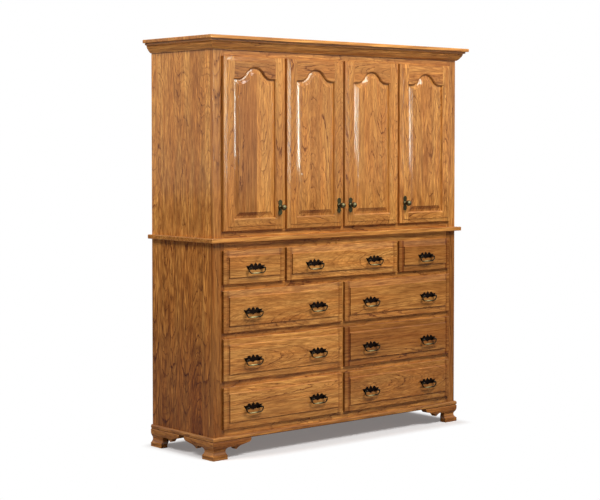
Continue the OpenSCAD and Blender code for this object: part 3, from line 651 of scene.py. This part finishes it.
def castings(node, body, finish, ease, rubbed=1.0, behind=None, other=None):
    """The metal parts of a node, with eased edges that are rubbed bright. What lies further back
    than behind is of the other metal."""
    bm = bmesh.new()
    bm.from_mesh(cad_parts[node].data)
    bmesh.ops.remove_doubles(bm, verts=bm.verts, dist=1e-5)
    bmesh.ops.dissolve_limit(bm, angle_limit=0.01, verts=bm.verts, edges=bm.edges)
    ease_edges(bm, ease)
    wear_and_sheen = bm.loops.layers.float.new("wear_and_sheen")
    bm.normal_update()
    for face in bm.faces:
        slanted = 1 - max(abs(k) for k in face.normal)
        face.material_index = int(behind is not None and face.calc_center_median().y > behind)
        for loop in face.loops:
            loop[wear_and_sheen] = rubbed * min(1.0, 1.4 * slanted)
    shade_smooth(bm)
    mesh = bpy.data.meshes.new(node + "_metal")
    bm.to_mesh(mesh)
    bm.free()
    mesh.materials.append(finish)
    if other:
        mesh.materials.append(other)
    stand_in(node + "_cast", mesh, node, body)


black_brass = metal("antique_brass", (0.008, 0.004, 0.003), (0.60, 0.52, 0.36), 0.34)
rod_brass = metal("rod_brass", (0.022, 0.015, 0.008), (0.25, 0.19, 0.09), 0.38)
old_brass = metal("old_brass", (0.030, 0.024, 0.012), (0.30, 0.25, 0.12), 0.34)
steel = metal("nickel_plate", (0.62, 0.60, 0.56), (0.80, 0.78, 0.74), 0.25)
castings("hinge_plates", "case", steel, 0.0004)
for number in PANELS:
    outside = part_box(f"door_{number}")[0].y + BEHIND_DOOR_FACE
    castings(f"door_{number}_metal", f"door_{number}", old_brass, 0.0005,
             behind=outside, other=steel)
for name in FRONTS:
    castings(f"plates_{name}", f"drawer_{name}", black_brass, 0.0005, rubbed=0.12)

# Bails
# Brass rod bent to a hoop, thicker at its middle, with a pin at each end that turns in the eye
# of its post. Hands have rubbed its bar bright, and the bright spot sits left of the middle, a painted
# highlight where the light falls on the bar.
BAIL = {"Place": Vector(), "Half": 0.0485, "Drop": 0.024, "Bend": 0.019, "Pin end": 0.035, "Pin": 0.002,
        "Arm": 0.0028, "Middle": 0.004, "Finish": rod_brass}
CORNERS = 6  # a pin's end, the top and the foot of an arm, and the same back up
BEND_STEPS = 12
STEP = 0.0015
ROUND = 16
PIN_LEVEL = -0.0006
# The rubbed spot is put left of the middle of the bar: wear, and a painted highlight.
RUBBED_AND_LIT_AT = -0.012
RUBBED_AND_LIT_HALF = 0.006
SINGLE = ("11", "13")


def sockets(tree, **given):
    """Named inputs of a tree of geometry nodes, and its output."""
    kinds = {float: "NodeSocketFloat", Vector: "NodeSocketVector", bpy.types.Material: "NodeSocketMaterial"}
    made = {name: tree.interface.new_socket(name=name, in_out="INPUT", socket_type=kinds[type(value)])
            for name, value in given.items()}
    tree.interface.new_socket(name="Mesh", in_out="OUTPUT", socket_type="NodeSocketGeometry")
    names = {name: socket.identifier for name, socket in made.items()}
    return names, tree.nodes.new("NodeGroupInput").outputs


def grown(name, tree, names, given, body, node):
    """The mesh that a tree of geometry nodes makes, as a plain piece in the place of its node."""
    seed = bpy.data.objects.new(name + "_seed", bpy.data.meshes.new(name + "_seed"))
    bpy.context.scene.collection.objects.link(seed)
    modifier = seed.modifiers.new("shape", "NODES")
    modifier.node_group = tree
    for key, value in given.items():
        modifier[names[key]] = tuple(value) if isinstance(value, Vector) else value
    mesh = bpy.data.meshes.new_from_object(seed.evaluated_get(bpy.context.evaluated_depsgraph_get()))
    bpy.data.objects.remove(seed)
    mesh.name = name
    mesh.set_sharp_from_angle(angle=CREASE)
    made = bpy.data.objects.new(name, mesh)
    bpy.context.scene.collection.objects.link(made)
    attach(made, body)
    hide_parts(node)


hoop = bpy.data.node_groups.new("bail", "GeometryNodeTree")
hoop_names, take = sockets(hoop, **BAIL)
point = put(hoop, "GeometryNodeInputIndex").outputs[0]
turn = reckon(hoop, "MINIMUM", point, reckon(hoop, "SUBTRACT", CORNERS - 1.0, point))
right = reckon(hoop, "GREATER_THAN", point, (CORNERS - 1) / 2)
side = reckon(hoop, "MULTIPLY_ADD", right, 2.0, -1.0)
low_down = reckon(hoop, "GREATER_THAN", turn, 1.5)
reach = carry(hoop, turn, (0.0, 1.0), (take["Pin end"], take["Half"]))
corner = put(hoop, "ShaderNodeCombineXYZ", {
    0: reckon(hoop, "MULTIPLY", side, reach),
    2: reckon(hoop, "MULTIPLY", low_down, reckon(hoop, "MULTIPLY", take["Drop"], -1.0))}).outputs[0]
line = put(hoop, "GeometryNodeMeshLine", {"Count": CORNERS}).outputs[0]
line = put(hoop, "GeometryNodeSetPosition", {"Geometry": line, "Position": corner}).outputs[0]
line = put(hoop, "GeometryNodeMeshToCurve", {"Mesh": line}).outputs[0]
bend = reckon(hoop, "MAXIMUM", reckon(hoop, "MULTIPLY", low_down, take["Bend"]), take["Arm"])
line = put(hoop, "GeometryNodeFilletCurve", {"Curve": line, "Count": BEND_STEPS, "Radius": bend},
           mode="POLY").outputs[0]
line = put(hoop, "GeometryNodeResampleCurve", {"Curve": line, "Length": STEP}, mode="LENGTH").outputs[0]
spot = put(hoop, "ShaderNodeSeparateXYZ", {0: put(hoop, "GeometryNodeInputPosition").outputs[0]}).outputs
wide = reckon(hoop, "ABSOLUTE", spot[0])
flat = reckon(hoop, "SUBTRACT", take["Half"], take["Bend"])
thick = carry(hoop, wide, (reckon(hoop, "MULTIPLY", flat, 0.4), flat), (take["Middle"], take["Arm"]))
inside_arms = reckon(hoop, "LESS_THAN", wide, reckon(hoop, "SUBTRACT", take["Half"], take["Arm"]))
is_pin = reckon(hoop, "MULTIPLY", reckon(hoop, "GREATER_THAN", spot[2], PIN_LEVEL), inside_arms)
thick = carry(hoop, is_pin, (0.0, 1.0), (thick, take["Pin"]))
ring = put(hoop, "GeometryNodeCurvePrimitiveCircle", {"Resolution": ROUND, "Radius": 1.0}).outputs[0]
rod = put(hoop, "GeometryNodeCurveToMesh", {"Curve": line, "Profile Curve": ring, "Scale": thick,
                                            "Fill Caps": True}).outputs[0]
# Wear on the bar, with a painted highlight to the left of its middle.
from_worn_sheen = reckon(hoop, "ABSOLUTE", reckon(hoop, "ADD", spot[0], -RUBBED_AND_LIT_AT))
held = carry(hoop, from_worn_sheen, (RUBBED_AND_LIT_HALF, flat), (1.0, 0.0))
on_bar = reckon(hoop, "LESS_THAN", spot[2], reckon(hoop, "MULTIPLY", take["Drop"], -0.75))
rod = put(hoop, "GeometryNodeStoreNamedAttribute",
          {"Geometry": rod, "Name": "wear_and_sheen", "Value": reckon(hoop, "MULTIPLY", held, on_bar)},
          data_type="FLOAT", domain="POINT").outputs[0]
rod = put(hoop, "GeometryNodeTransform", {"Geometry": rod, "Translation": take["Place"]}).outputs[0]
rod = put(hoop, "GeometryNodeRealizeInstances", {"Geometry": rod}).outputs[0]
rod = put(hoop, "GeometryNodeSetMaterial", {"Geometry": rod, "Material": take["Finish"]}).outputs[0]
put(hoop, "NodeGroupOutput", {"Mesh": rod})
for name in FRONTS:
    for mark in (("",) if name in SINGLE else ("a", "b")):
        node = f"bail_{name}{mark}"
        low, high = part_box(node)
        place = Vector(((low.x + high.x) / 2, (low.y + high.y) / 2, high.z - BAIL["Arm"]))
        grown(node + "_hoop", hoop, hoop_names, {**BAIL, "Place": place}, node, node)
